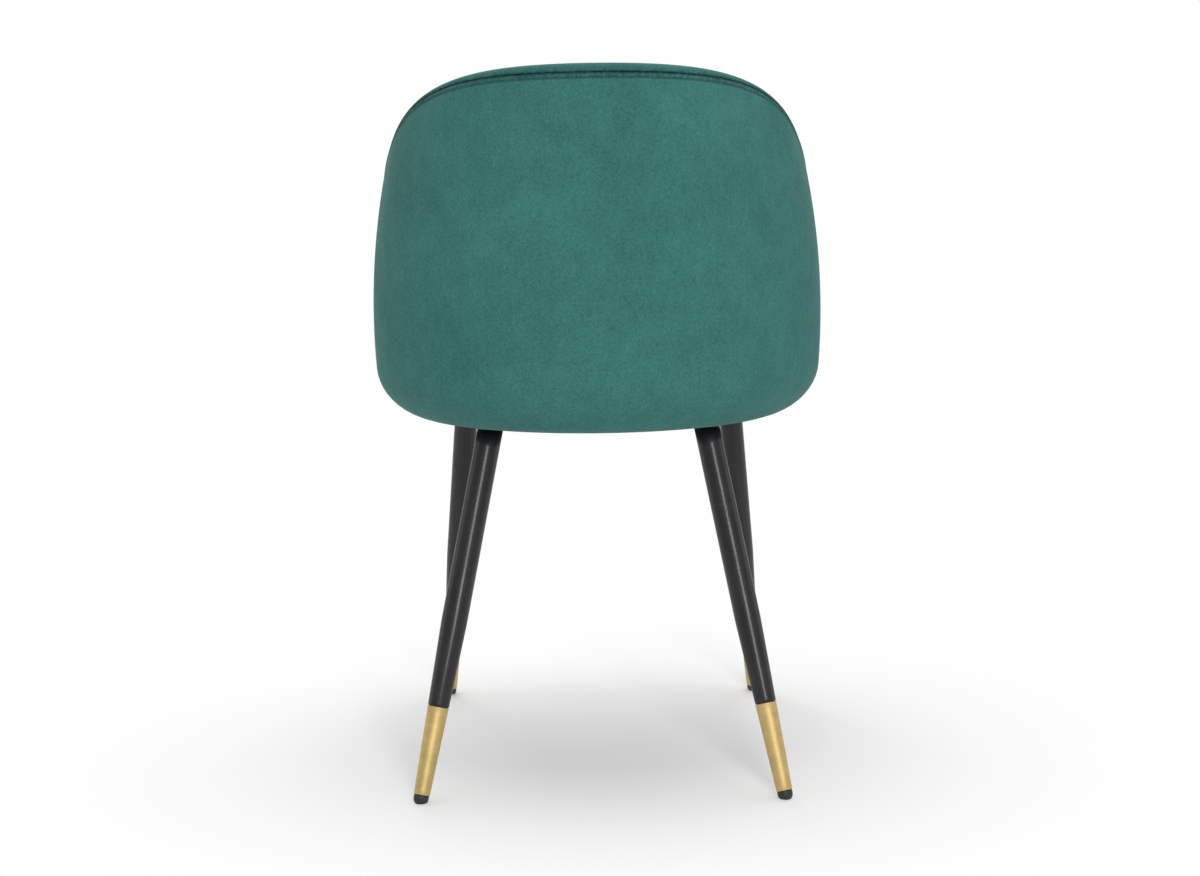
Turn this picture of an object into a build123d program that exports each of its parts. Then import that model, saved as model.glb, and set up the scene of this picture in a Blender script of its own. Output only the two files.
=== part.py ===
"""Upholstered dining chair: a padded tub on four tapered steel legs with brass ferrules.

Millimetres, +Z up. The origin is on the floor under the middle of the chair's outline. The sitter
faces -Y, the backrest is towards +Y, and +X is the sitter's left.
"""

import os
from math import acos, cos, degrees, radians, sin

from build123d import *

# Overall form of the tub
HEIGHT = 800.0  # floor to the crest of the backrest
FRONT_Y = -290.0  # foremost line of the seat
REAR_Y = 290.0  # rearmost line of the backrest
BASE_Z = 408.0  # underside of the upholstery
WIDEST_HALF = 269.0  # half width at the widest level
WIDEST_Z = 506.0
TAPER = 0.000607  # half width lost per squared millimetre above or below the widest level
BACK_REACH = 278.0  # from the widest line back to the rear wall
BACK_LEAN = 0.178  # rearward travel of each level per millimetre of height
BASE_ROUNDING = 60.0  # radius between wall and underside
WIDEST_Y = REAR_Y - BACK_REACH - BACK_LEAN * (HEIGHT - BASE_Z)  # at the underside
REAR_FULLNESS = 0.5523  # handle length of a Bezier quarter that follows an ellipse
FRONT_FULLNESS = 0.68  # a squarer quarter, for the front corners of the seat

# The rim, seen from the side: a large crest arc that runs into a smaller hollow arc, level at
# both ends
CREST_RADIUS = 465.0
FRONT_RIM_Z = 455.0
RIM_RISE = HEIGHT - FRONT_RIM_Z
HOLLOW_RADIUS = ((REAR_Y - FRONT_Y) ** 2 + RIM_RISE**2) / (2 * RIM_RISE) - CREST_RADIUS
SEAM_DROP = 10.0  # the cover seam runs this far below the crest of the rim
SEAT_TOP_Z = 480.0
# The wings meet the top of the seat where the hollow arc has risen to the seat's level
WING_END_Y = FRONT_Y + HOLLOW_RADIUS * sin(acos(1 - (SEAT_TOP_Z - FRONT_RIM_Z) / HOLLOW_RADIUS))

# Layers
COVER = 3.0  # velvet with its wadding
SKIN = 2.0  # velvet without wadding
SHELL = 7.0  # moulded tub
BOARD = 12.0  # plywood
PAD_SIDE = 34.0  # outer face of the tub to the inner face of the back pad
PAD_BACK = 38.0
PAD_FRONT = 12.0
ROLL_RADIUS = 6.5  # rounding of the padded rim and of the seat's top edge
HEM = 22.0  # turn-in of the outer cover under the tub
BOARD_MARGIN = 64.0  # widest level of the tub to the edge of the seat board
SHELL_BASE_Z = BASE_Z + COVER
BOARD_Z = SHELL_BASE_Z + SHELL
FOAM_Z = BOARD_Z + BOARD
LOFT_TOP_Z = HEIGHT + 30.0
LEVEL_STEP = 23.5  # spacing of the loft's sections along the wall
DUST_COVER = 1.0
DUST_MARGIN = 70.0
STAPLE_MARGIN = 76.0
STAPLES = 36
STAPLE_WIDE = 10.0
STAPLE_WIRE = 0.6
STAPLE_LEG = 3.5
STAPLE_TO_PLATE = 42.0  # no staples this near a leg

# Legs, by the foot on the floor and the top under the plate
LEGS = {
    "front": ((208.0, -232.6), (170.0, -160.0)),
    "rear": ((204.0, 202.0), (125.0, 75.0)),
}
SIDES = {"left": 1, "right": -1}
PLATE = 3.0
PLATE_TOP_Z = BASE_Z - DUST_COVER
LEG_TOP_Z = PLATE_TOP_Z - PLATE
TUBE_R = 14.75
TUBE_WALL = 1.5
TIP_R = 8.75  # the taper's radius at the floor
TAPER_TOP = 203.0  # heights on the leg are measured along it from the floor
FERRULE_TOP = 107.0
FERRULE_BOTTOM = 9.0
FERRULE_WALL = 1.2
SLIP = 0.1  # clearance between ferrule and tube
SPIGOT_BOTTOM = 32.0
GLIDE_R = 8.5
GLIDE_DOME = 5.0  # where the glide's dome begins
GLIDE_PLUG_R = 7.3
GLIDE_PLUG_TOP = 28.0

# Leg plates: the hull of a pad round the leg and two pads at the inner bolts. Places on a plate
# are (u, v) from the leg, u pointing away from the tub's middle.
PLATE_LEG_PAD = 17.0
PLATE_BOLT_PAD = 10.0
INNER_BOLT = (-60.0, 24.0)
OUTER_BOLT = (-31.0, 15.0)
BOLT_HOLE_R = 3.4
BOLT_R = 3.0
BOLT_LENGTH = 25.0
BOLT_HEAD_R = 5.25
BOLT_HEAD = 3.3
BOLT_SOCKET_R = 2.3
BOLT_SOCKET = 2.0
WASHER_R = 6.0
WASHER = 1.6
TEE_FLANGE_R = 9.5
TEE_FLANGE = 1.5
TEE_BARREL_R = 4.0
TEE_BARREL = 9.0
TEE_BORE_R = 3.1

# Screws that hold the seat board down to the tub
SCREWS = 6
SCREW_RING = (150.0, 130.0)
SCREW_R = 1.9
SCREW_HEAD_R = 4.0
SCREW_HEAD = 2.4
SCREW_LENGTH = 17.0


def half_width(z):
    return WIDEST_HALF - TAPER * (z - WIDEST_Z) ** 2


def widest_y(z):
    return WIDEST_Y + BACK_LEAN * (z - BASE_Z)


def plan_outline(z, side_inset, back_inset, front_inset):
    """A closed plan of four Bezier quarters: an ellipse behind the widest line, squarer in front."""
    a = half_width(z) - side_inset
    y = widest_y(z)
    back = BACK_REACH - back_inset
    front = y - FRONT_Y - front_inset
    k, f = REAR_FULLNESS, FRONT_FULLNESS
    Bezier((a, y), (a, y + k * back), (k * a, y + back), (0, y + back))
    Bezier((0, y + back), (-k * a, y + back), (-a, y + k * back), (-a, y))
    Bezier((-a, y), (-a, y - f * front), (-f * a, y - front), (0, y - front))
    Bezier((0, y - front), (f * a, y - front), (a, y - f * front), (a, y))


def bowl(inset, floor_z):
    """The solid inside the tub's outer face moved inwards by inset, with a rounded bottom edge."""
    rounding = BASE_ROUNDING - inset
    quarter = [radians(22.5 * step) for step in range(5)]
    levels = [(floor_z + rounding * (1 - cos(t)), inset + rounding * (1 - sin(t))) for t in quarter]
    wall_z = levels[-1][0]
    steps = round((LOFT_TOP_Z - wall_z) / LEVEL_STEP)
    levels += [(wall_z + (LOFT_TOP_Z - wall_z) * n / steps, inset) for n in range(1, steps + 1)]
    with BuildPart() as body:
        for z, edge in levels:
            with BuildSketch(Plane.XY.offset(z)):
                with BuildLine():
                    plan_outline(z, edge, edge, edge)
                make_face()
        loft()
    return body.part


def sitting_space(growth):
    """The solid inside the inner face of the back pad, growing outwards by growth."""
    levels = [FOAM_Z + share * (LOFT_TOP_Z - FOAM_Z) for share in (0, 0.25, 0.5, 0.75, 1.0)]
    with BuildPart() as body:
        for z in levels:
            with BuildSketch(Plane.XY.offset(z)):
                with BuildLine():
                    plan_outline(z, PAD_SIDE - growth, PAD_BACK - growth, PAD_FRONT - growth)
                make_face()
        loft()
    return body.part


def below_rim(drop):
    """Everything under the rim line moved down by drop: the side view, extruded across the chair."""
    crest = (REAR_Y, HEIGHT - CREST_RADIUS)
    hollow = (FRONT_Y, FRONT_RIM_Z + HOLLOW_RADIUS)
    turn = degrees(acos((hollow[1] - crest[1]) / (CREST_RADIUS + HOLLOW_RADIUS)))
    margin = 60.0
    floor = BASE_Z - margin
    with BuildPart() as body:
        with BuildSketch(Plane.YZ):
            with BuildLine():
                top = CenterArc(crest, CREST_RADIUS - drop, 90, turn)
                low = CenterArc(hollow, HOLLOW_RADIUS + drop, 270 + turn, -turn)
                Polyline(
                    low @ 1,
                    (FRONT_Y - margin, (low @ 1).Y),
                    (FRONT_Y - margin, floor),
                    (REAR_Y + margin, floor),
                    (REAR_Y + margin, (top @ 0).Y),
                    top @ 0,
                )
            make_face()
        extrude(amount=WIDEST_HALF + margin, both=True)
    return body.part


def slab(bottom, top, front=FRONT_Y - 60, rear=REAR_Y + 60):
    """A block across the whole chair between two levels and two stations."""
    with BuildPart() as body:
        with BuildSketch(Plane.XY.offset(bottom)):
            with Locations((0, (front + rear) / 2)):
                Rectangle(2 * WIDEST_HALF + 80, rear - front)
        extrude(amount=top - bottom)
    return body.part


def back_pad(skin):
    """The inner back pad with its roll over the rim, drawn in by skin where the velvet covers it."""
    with BuildPart() as pad:
        add(bowl(skin, BASE_Z + skin))
        add(below_rim(skin), mode=Mode.INTERSECT)
        add(slab(FOAM_Z, LOFT_TOP_Z, front=WING_END_Y + skin), mode=Mode.INTERSECT)
        add(sitting_space(skin), mode=Mode.SUBTRACT)
        add(tub_wall.part, mode=Mode.SUBTRACT)
        rim_arcs = pad.faces().filter_by(GeomType.CYLINDER).filter_by(lambda f: f.normal_at().Z > 0)
        fillet(rim_arcs.edges().filter_by(GeomType.BSPLINE), ROLL_RADIUS - skin)
    return pad.part


def cushion(skin):
    """The seat cushion: between the pads at the sides and rear, over the low rim at the front."""
    with BuildPart() as lip:
        add(bowl(1 + skin, BASE_Z + 1 + skin))
        add(below_rim(SEAM_DROP - skin), mode=Mode.SUBTRACT)
    with BuildPart() as pads:
        add(slab(BASE_Z, LOFT_TOP_Z, front=WING_END_Y - skin))
        add(sitting_space(-skin), mode=Mode.SUBTRACT)
    with BuildPart() as pad:
        add(bowl(COVER + SHELL + skin, BOARD_Z + skin))
        add(lip.part)
        add(slab(FOAM_Z, SEAT_TOP_Z - skin), mode=Mode.INTERSECT)
        add(pads.part, mode=Mode.SUBTRACT)
        fillet(pad.faces().sort_by(Axis.Z)[-1].edges(), ROLL_RADIUS - skin)
    return pad.part


def plate_frame(top, side, z):
    """A level plane at a leg's top whose x axis points away from the tub's middle."""
    out = Vector(side * top[0], top[1] - WIDEST_Y)
    return Plane(origin=(side * top[0], top[1], z), x_dir=out, z_dir=(0, 0, 1))


def bolt_locations(z):
    """The sixteen bolt places, four on each plate, as locations at level z."""
    places = []
    for _, top in LEGS.values():
        for side in SIDES.values():
            frame = plate_frame(top, side, z)
            for u, v in (INNER_BOLT, OUTER_BOLT):
                places += [Location(frame.from_local_coords((u, v, 0)))]
                places += [Location(frame.from_local_coords((u, -v, 0)))]
    return places


def screw_locations(z):
    places = []
    for n in range(SCREWS):
        turn = radians(360 * (n + 0.5) / SCREWS)
        places += [Location((SCREW_RING[0] * cos(turn), WIDEST_Y + SCREW_RING[1] * sin(turn), z))]
    return places


def staple_planes():
    """Places of the dust cover's staples along its edge, leaving out those under a leg plate."""
    with BuildLine(Plane.XY.offset(PLATE_TOP_Z)) as ring:
        plan_outline(BASE_Z, STAPLE_MARGIN, STAPLE_MARGIN, STAPLE_MARGIN)
    ring_wire = ring.wires()[0]
    planes = []
    for n in range(STAPLES):
        share = (n + 0.5) / STAPLES
        spot = ring_wire @ share
        gaps = [Vector(abs(spot.X) - top[0], spot.Y - top[1]).length for _, top in LEGS.values()]
        if min(gaps) > STAPLE_TO_PLATE:
            planes += [Plane(origin=spot, x_dir=ring_wire % share, z_dir=(0, 0, 1))]
    return planes


def taper_radius(height):
    """Outer radius of the leg at a height along it."""
    return TUBE_R - (TUBE_R - TIP_R) * max(0, TAPER_TOP - height) / TAPER_TOP


def leg_axis(foot, top, side):
    start = Vector(side * foot[0], foot[1], 0)
    end = Vector(side * top[0], top[1], LEG_TOP_Z)
    return Axis(start, end - start)


def leg_plane(axis):
    """A plane through the leg's axis: x is the radius, y the height along the leg."""
    across = Vector(-axis.direction.Y, axis.direction.X, 0).normalized()
    return Plane(origin=axis.position, x_dir=across, z_dir=across.cross(axis.direction))


def keep(part, name):
    part.label = name
    export_step(part, f"parts/{name}.step")


os.makedirs("parts", exist_ok=True)

# Staples of the dust cover
with BuildPart() as staples:
    with Locations(*staple_planes()):
        Box(STAPLE_WIDE, STAPLE_WIRE, STAPLE_WIRE, align=(Align.CENTER, Align.CENTER, Align.MAX))
        with Locations((STAPLE_WIDE / 2 - STAPLE_WIRE / 2, 0), (STAPLE_WIRE / 2 - STAPLE_WIDE / 2, 0)):
            leg_align = (Align.CENTER, Align.CENTER, Align.MIN)
            Box(STAPLE_WIRE, STAPLE_WIRE, STAPLE_LEG, align=leg_align)
keep(staples.part, "dust_cover_staples")

# The wall that the outer cover and the moulded shell share, below the cover's seam
with BuildPart() as tub_wall:
    add(bowl(0, BASE_Z))
    add(bowl(COVER + SHELL, BOARD_Z), mode=Mode.SUBTRACT)
    add(below_rim(SEAM_DROP), mode=Mode.INTERSECT)

# Outer cover: velvet round the tub with its edge turned in underneath
with BuildPart() as outer_cover:
    add(bowl(0, BASE_Z))
    add(bowl(COVER, SHELL_BASE_Z), mode=Mode.SUBTRACT)
    add(below_rim(SEAM_DROP), mode=Mode.INTERSECT)
    with BuildSketch(Plane.XY.offset(BASE_Z)):
        with BuildLine():
            plan_outline(BASE_Z, *[BASE_ROUNDING + HEM] * 3)
        make_face()
    extrude(amount=COVER, mode=Mode.SUBTRACT)
    with Locations(*bolt_locations(SHELL_BASE_Z)):
        Hole(BOLT_HOLE_R, depth=COVER)
    add(staples.part, mode=Mode.SUBTRACT)
keep(outer_cover.part, "outer_cover")

# Tub shell: the wall, and a base plinth that fills the opening of the cover's hem
with BuildPart() as tub_shell:
    add(bowl(COVER, SHELL_BASE_Z))
    add(bowl(COVER + SHELL, BOARD_Z), mode=Mode.SUBTRACT)
    add(below_rim(SEAM_DROP), mode=Mode.INTERSECT)
    with BuildSketch(Plane.XY.offset(BASE_Z)):
        with BuildLine():
            plan_outline(BASE_Z, *[BASE_ROUNDING + HEM] * 3)
        make_face()
    extrude(amount=COVER)
    with Locations(*bolt_locations(BOARD_Z)):
        Hole(BOLT_HOLE_R, depth=SHELL + COVER)
    with Locations(*screw_locations(BOARD_Z)):
        Hole(SCREW_R, depth=SCREW_LENGTH - BOARD)
keep(tub_shell.part, "tub_shell")

# Seat board with holes for the tee nuts and countersunk screws
with BuildPart() as seat_board:
    with BuildSketch(Plane.XY.offset(BOARD_Z)):
        with BuildLine():
            plan_outline(BASE_Z, *[BOARD_MARGIN] * 3)
        make_face()
    extrude(amount=BOARD)
    with Locations(*bolt_locations(FOAM_Z)):
        Hole(TEE_BARREL_R, depth=BOARD)
    with Locations(*screw_locations(FOAM_Z)):
        CounterSinkHole(SCREW_R, SCREW_HEAD_R, depth=BOARD, counter_sink_angle=82)
keep(seat_board.part, "seat_board")

# Dust cover
with BuildPart() as dust_cover:
    with BuildSketch(Plane.XY.offset(PLATE_TOP_Z)):
        with BuildLine():
            plan_outline(BASE_Z, *[DUST_MARGIN] * 3)
        make_face()
    extrude(amount=DUST_COVER)
    with Locations(*bolt_locations(BASE_Z)):
        Hole(BOLT_HOLE_R, depth=DUST_COVER)
    add(staples.part, mode=Mode.SUBTRACT)
keep(dust_cover.part, "dust_cover")

# Fasteners
with BuildPart() as leg_bolts:
    with Locations(*bolt_locations(LEG_TOP_Z - WASHER)):
        Cylinder(BOLT_R, BOLT_LENGTH, align=(Align.CENTER, Align.CENTER, Align.MIN))
        Cylinder(BOLT_HEAD_R, BOLT_HEAD, align=(Align.CENTER, Align.CENTER, Align.MAX))
    rims = leg_bolts.edges().filter_by(GeomType.CIRCLE).group_by(Axis.Z)[0]
    fillet(rims, BOLT_HEAD / 3)
    with BuildSketch(Plane.XY.offset(LEG_TOP_Z - WASHER - BOLT_HEAD)):
        with Locations(*bolt_locations(0)):
            RegularPolygon(BOLT_SOCKET_R, 6)
    extrude(amount=BOLT_SOCKET, mode=Mode.SUBTRACT)
keep(leg_bolts.part, "leg_bolts")

with BuildPart() as leg_washers:
    with Locations(*bolt_locations(LEG_TOP_Z)):
        Cylinder(WASHER_R, WASHER, align=(Align.CENTER, Align.CENTER, Align.MAX))
        Hole(BOLT_HOLE_R, depth=WASHER)
keep(leg_washers.part, "leg_washers")

with BuildPart() as tee_nuts:
    with Locations(*bolt_locations(FOAM_Z)):
        Cylinder(TEE_FLANGE_R, TEE_FLANGE, align=(Align.CENTER, Align.CENTER, Align.MIN))
        Cylinder(TEE_BARREL_R, TEE_BARREL, align=(Align.CENTER, Align.CENTER, Align.MAX))
    with Locations(*bolt_locations(FOAM_Z + TEE_FLANGE)):
        Hole(TEE_BORE_R, depth=TEE_FLANGE + TEE_BARREL)
keep(tee_nuts.part, "tee_nuts")

with BuildPart() as board_screws:
    with Locations(*screw_locations(FOAM_Z)):
        Cylinder(SCREW_R, SCREW_LENGTH, align=(Align.CENTER, Align.CENTER, Align.MAX))
        Cone(SCREW_R, SCREW_HEAD_R, SCREW_HEAD, align=(Align.CENTER, Align.CENTER, Align.MAX))
keep(board_screws.part, "board_screws")

# Upholstery of the back and the seat
back_foam = back_pad(SKIN)
keep(back_foam, "back_foam")
keep(back_pad(0) - back_foam, "inner_back_cover")

cushion_core = cushion(SKIN)
keep(cushion(0) - cushion_core, "seat_cover")
with BuildPart() as seat_foam:
    add(cushion_core)
    with Locations(*bolt_locations(FOAM_Z)):
        Cylinder(
            TEE_FLANGE_R,
            TEE_FLANGE,
            align=(Align.CENTER, Align.CENTER, Align.MIN),
            mode=Mode.SUBTRACT,
        )
keep(seat_foam.part, "seat_foam")

# Legs: plate, tube with a slimmer spigot, ferrule over the spigot, glide plugged into the ferrule
for end, (foot, top) in LEGS.items():
    for side_name, side in SIDES.items():
        place = f"{end}_{side_name}"
        axis = leg_axis(foot, top, side)
        section = leg_plane(axis)
        far = (LEG_TOP_Z + 40) / axis.direction.Z

        with BuildPart() as plate:
            with BuildSketch(plate_frame(top, side, LEG_TOP_Z)):
                Circle(PLATE_LEG_PAD)
                with Locations(INNER_BOLT, (INNER_BOLT[0], -INNER_BOLT[1])):
                    Circle(PLATE_BOLT_PAD)
                make_hull()
            extrude(amount=PLATE)
            with Locations(*bolt_locations(PLATE_TOP_Z)):
                Hole(BOLT_HOLE_R, depth=PLATE)
        keep(plate.part, f"leg_plate_{place}")

        top_r = taper_radius(FERRULE_TOP) - FERRULE_WALL - SLIP
        low_r = taper_radius(SPIGOT_BOTTOM) - FERRULE_WALL - SLIP
        with BuildPart() as leg:
            with BuildSketch(section):
                with BuildLine():
                    Polyline(
                        (low_r - TUBE_WALL, SPIGOT_BOTTOM),
                        (low_r, SPIGOT_BOTTOM),
                        (top_r, FERRULE_TOP),
                        (taper_radius(FERRULE_TOP), FERRULE_TOP),
                        (TUBE_R, TAPER_TOP),
                        (TUBE_R, far),
                        (TUBE_R - TUBE_WALL, far),
                        (TUBE_R - TUBE_WALL, TAPER_TOP),
                        (top_r - TUBE_WALL, FERRULE_TOP),
                        close=True,
                    )
                make_face()
            revolve(axis=axis)
            split(bisect_by=Plane.XY.offset(LEG_TOP_Z), keep=Keep.BOTTOM)
        keep(leg.part, f"leg_{place}")

        with BuildPart() as ferrule:
            with BuildSketch(section):
                with BuildLine():
                    Polyline(
                        (taper_radius(FERRULE_BOTTOM) - FERRULE_WALL, FERRULE_BOTTOM),
                        (taper_radius(FERRULE_BOTTOM), FERRULE_BOTTOM),
                        (taper_radius(FERRULE_TOP), FERRULE_TOP),
                        (taper_radius(FERRULE_TOP) - FERRULE_WALL, FERRULE_TOP),
                        close=True,
                    )
                make_face()
            revolve(axis=axis)
        keep(ferrule.part, f"ferrule_{place}")

        with BuildPart() as glide:
            with BuildSketch(section):
                with BuildLine():
                    CenterArc((0, GLIDE_DOME), GLIDE_R, -90, 90)
                    Polyline(
                        (GLIDE_R, GLIDE_DOME),
                        (GLIDE_R, FERRULE_BOTTOM),
                        (GLIDE_PLUG_R, FERRULE_BOTTOM),
                        (GLIDE_PLUG_R, GLIDE_PLUG_TOP),
                        (0, GLIDE_PLUG_TOP),
                        (0, GLIDE_DOME - GLIDE_R),
                    )
                make_face()
            revolve(axis=axis)
            split(bisect_by=Plane.XY, keep=Keep.TOP)
        keep(glide.part, f"glide_{place}")
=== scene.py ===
"""Looks of an upholstered tub dining chair on tapered legs with brass ferrules.

Metres, in the CAD model's frame: +Z up, the sitter faces -Y, +X is the sitter's left. A place
round the tub is a number u from 0 to 4: 0 is the left side, 1 the middle of the back, 2 the right
side and 3 the middle of the front.
"""

import bpy
import numpy as np
from mathutils import Matrix, Vector


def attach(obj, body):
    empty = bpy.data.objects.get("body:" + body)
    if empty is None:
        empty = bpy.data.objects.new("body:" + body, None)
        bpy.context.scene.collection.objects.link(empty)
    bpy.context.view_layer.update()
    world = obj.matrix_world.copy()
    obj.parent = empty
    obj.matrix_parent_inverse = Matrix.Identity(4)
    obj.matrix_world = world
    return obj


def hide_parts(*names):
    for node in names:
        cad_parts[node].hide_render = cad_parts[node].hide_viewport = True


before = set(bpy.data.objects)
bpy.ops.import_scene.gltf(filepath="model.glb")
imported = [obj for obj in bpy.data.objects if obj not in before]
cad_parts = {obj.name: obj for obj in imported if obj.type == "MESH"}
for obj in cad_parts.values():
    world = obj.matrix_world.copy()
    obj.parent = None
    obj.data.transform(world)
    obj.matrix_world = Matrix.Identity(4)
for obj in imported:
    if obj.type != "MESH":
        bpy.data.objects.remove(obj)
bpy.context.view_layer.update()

# Tub form, as in the CAD model
FRONT_Y, REAR_Y = -0.290, 0.290
HEIGHT = 0.800
BASE_Z = 0.408
WIDEST_HALF, WIDEST_Z = 0.269, 0.506
TAPER = 0.607
BACK_REACH = 0.278
BACK_LEAN = 0.178
BASE_ROUNDING = 0.060
WIDEST_Y = REAR_Y - BACK_REACH - BACK_LEAN * (HEIGHT - BASE_Z)
REAR_FULLNESS, FRONT_FULLNESS = 0.5523, 0.68
CREST_RADIUS = 0.465
FRONT_RIM_Z = 0.455
RIM_RISE = HEIGHT - FRONT_RIM_Z
HOLLOW_RADIUS = ((REAR_Y - FRONT_Y) ** 2 + RIM_RISE**2) / (2 * RIM_RISE) - CREST_RADIUS
RIM_TURN = np.arcsin((REAR_Y - FRONT_Y) / (CREST_RADIUS + HOLLOW_RADIUS))
SEAM_DROP = 0.010
COVER = 0.003
PAD_SIDE, PAD_BACK = 0.034, 0.038
SEAT_TOP_Z = 0.480
HEM = 0.022
SEAT_FLOOR_Z = 0.430
WING_END_Y = -0.1945


def smooth(low, high, value):
    """0 below low, 1 above high, and an S curve between them."""
    t = np.clip((value - low) / (high - low), 0, 1)
    return t * t * (3 - 2 * t)


def bell(value, middle, width):
    """1 at the middle, falling away smoothly over about one width on each side."""
    return np.exp(-(((value - middle) / width) ** 2))


def places_round(count):
    """Evenly spread places round the tub."""
    return np.linspace(0, 4, count, endpoint=False)


def plan_point(u, z, side, back, front):
    """A point of the tub's plan at level z, moved inwards at the side, back and front.

    Each quarter is a cubic Bezier from the widest line to the middle line. Its two coordinates are
    mirror images in the parameter. The half width falls with the square of the height from the
    widest level, and the widest line moves back in proportion to the height.
    """
    quarter = np.floor(u).astype(int) % 4
    t = u - np.floor(u)
    t = np.where(quarter % 2 == 1, 1 - t, t)
    full = np.where(quarter < 2, REAR_FULLNESS, FRONT_FULLNESS)
    across = (1 - t) ** 3 + 3 * (1 - t) ** 2 * t + 3 * (1 - t) * t**2 * full
    along = 3 * (1 - t) ** 2 * t * full + 3 * (1 - t) * t**2 + t**3
    half = WIDEST_HALF - TAPER * (z - WIDEST_Z) ** 2 - side
    widest_y = WIDEST_Y + BACK_LEAN * (z - BASE_Z)
    reach = np.where(quarter < 2, BACK_REACH - back, -(widest_y - FRONT_Y - front))
    x = np.where((quarter == 0) | (quarter == 3), 1, -1) * half * across
    y = widest_y + reach * along
    return np.stack(np.broadcast_arrays(x, y, z), -1)


def tub_point(u, z, inset):
    """The tub's outer face moved inwards by inset: the plan, with a quarter round at the bottom."""
    rounding = BASE_ROUNDING - inset
    climb = np.clip((z - BASE_Z - inset) / rounding, 0, 1)
    edge = inset + rounding * (1 - np.sqrt(1 - (1 - climb) ** 2))
    return plan_point(u, z, edge, edge, edge)


def outward(u, z):
    """Level direction away from the tub's face."""
    step = 0.002  # the direction is taken between faces this far out and in
    away = plan_point(u, z, -step, -step, -step) - plan_point(u, z, step, step, step)
    return away / np.linalg.norm(away, axis=-1, keepdims=True)


def rim_height(y, drop):
    """Height of the rim at station y, moved down by drop: a crest arc, then a hollow arc."""
    crest_r, hollow_r = CREST_RADIUS - drop, HOLLOW_RADIUS + drop
    crest = HEIGHT - CREST_RADIUS + np.sqrt(np.clip(crest_r**2 - (y - REAR_Y) ** 2, 0, None))
    hollow = FRONT_RIM_Z + HOLLOW_RADIUS
    hollow = hollow - np.sqrt(np.clip(hollow_r**2 - (y - FRONT_Y) ** 2, 0, None))
    return np.where(y > REAR_Y - crest_r * np.sin(RIM_TURN), crest, hollow)


def rim_on_tub(u, drop, inwards=0.0):
    """Height at which the tub's face, moved inwards, meets the rim line moved down by drop.

    Found by bisection.
    """
    low = np.full_like(u, BASE_Z + 0.002)
    high = np.full_like(u, HEIGHT + 0.02)
    for _ in range(40):
        middle = (low + high) / 2
        face = tub_point(u, middle, 0) - outward(u, middle) * np.expand_dims(inwards, -1)
        above = middle > rim_height(face[..., 1], drop)
        high = np.where(above, middle, high)
        low = np.where(above, low, middle)
    return (low + high) / 2


def mesh_object(name, points, faces, material):
    """A smooth-shaded object from an array of points and a list of faces."""
    mesh = bpy.data.meshes.new(name)
    mesh.from_pydata(points.reshape(-1, 3).tolist(), [], faces)
    mesh.polygons.foreach_set("use_smooth", np.full(len(mesh.polygons), True))
    mesh.materials.append(material)
    mesh.update()
    piece = bpy.data.objects.new(name, mesh)
    bpy.context.scene.collection.objects.link(piece)
    return piece


def grid_faces(rows, cols, close_rows, close_cols):
    """Quads between neighbours of a rows by cols grid, wrapping round where it is closed."""
    r = np.arange(rows if close_rows else rows - 1)
    c = np.arange(cols if close_cols else cols - 1)
    r, c = np.meshgrid(r, c, indexing="ij")
    r2, c2 = (r + 1) % rows, (c + 1) % cols
    corners = [r * cols + c, r * cols + c2, r2 * cols + c2, r2 * cols + c]
    return np.stack(corners, -1).reshape(-1, 4)


def signed_volume(points, quads):
    """Volume inside a closed surface of quads, negative where the faces point inwards."""
    a, b, c, d = (points[quads[:, k]] for k in range(4))
    first = np.einsum("ij,ij->i", a, np.cross(b, c))
    second = np.einsum("ij,ij->i", a, np.cross(c, d))
    return (first.sum() + second.sum()) / 6


def ring_piece(name, grid, material):
    """A closed ring: each column is a closed section and the columns go all the way round."""
    rows, cols = grid.shape[:2]
    points = grid.reshape(-1, 3)
    quads = grid_faces(rows, cols, True, True)
    if signed_volume(points, quads) < 0:
        quads = quads[:, ::-1]
    return mesh_object(name, points, quads.tolist(), material)


def shrunk(row):
    """A copy of a closed row, shrunk almost to a point at its middle."""
    middle = row.mean(1, keepdims=True)
    return middle + (row - middle) * 1e-3


def tube_piece(name, grid, material):
    """A closed tube: each row is a closed loop, and a shrunk row at each end is filled."""
    grid = np.concatenate([shrunk(grid[:1]), grid, shrunk(grid[-1:])], 0)
    rows, cols = grid.shape[:2]
    points = grid.reshape(-1, 3)
    quads = grid_faces(rows, cols, False, True)
    if signed_volume(points, quads) < 0:
        quads = quads[:, ::-1]
        ends = [np.arange(cols), (rows - 1) * cols + np.arange(cols)[::-1]]
    else:
        ends = [np.arange(cols)[::-1], (rows - 1) * cols + np.arange(cols)]
    return mesh_object(name, points, quads.tolist() + [e.tolist() for e in ends], material)


def set_attribute(piece, name, values):
    """Stores one number for each point of the piece, for its material to read."""
    layer = piece.data.attributes.new(name, "FLOAT", "POINT")
    layer.data.foreach_set("value", np.asarray(values, np.float32).ravel())


# ---------------------------------------------------------------- shader helpers


class Socket:
    """A shader value. Arithmetic on it adds Math nodes to its material."""

    def __init__(self, paint, output):
        self.paint = paint
        self.output = output

    def _math(self, operation, *values):
        node = self.paint.node("ShaderNodeMath", {"operation": operation}, dict(enumerate(values)))
        return Socket(self.paint, node.outputs[0])

    def __add__(self, other):
        return self._math("ADD", self, other)

    def __radd__(self, other):
        return self._math("ADD", other, self)

    def __sub__(self, other):
        return self._math("SUBTRACT", self, other)

    def __rsub__(self, other):
        return self._math("SUBTRACT", other, self)

    def __mul__(self, other):
        return self._math("MULTIPLY", self, other)

    def __rmul__(self, other):
        return self._math("MULTIPLY", other, self)


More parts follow.
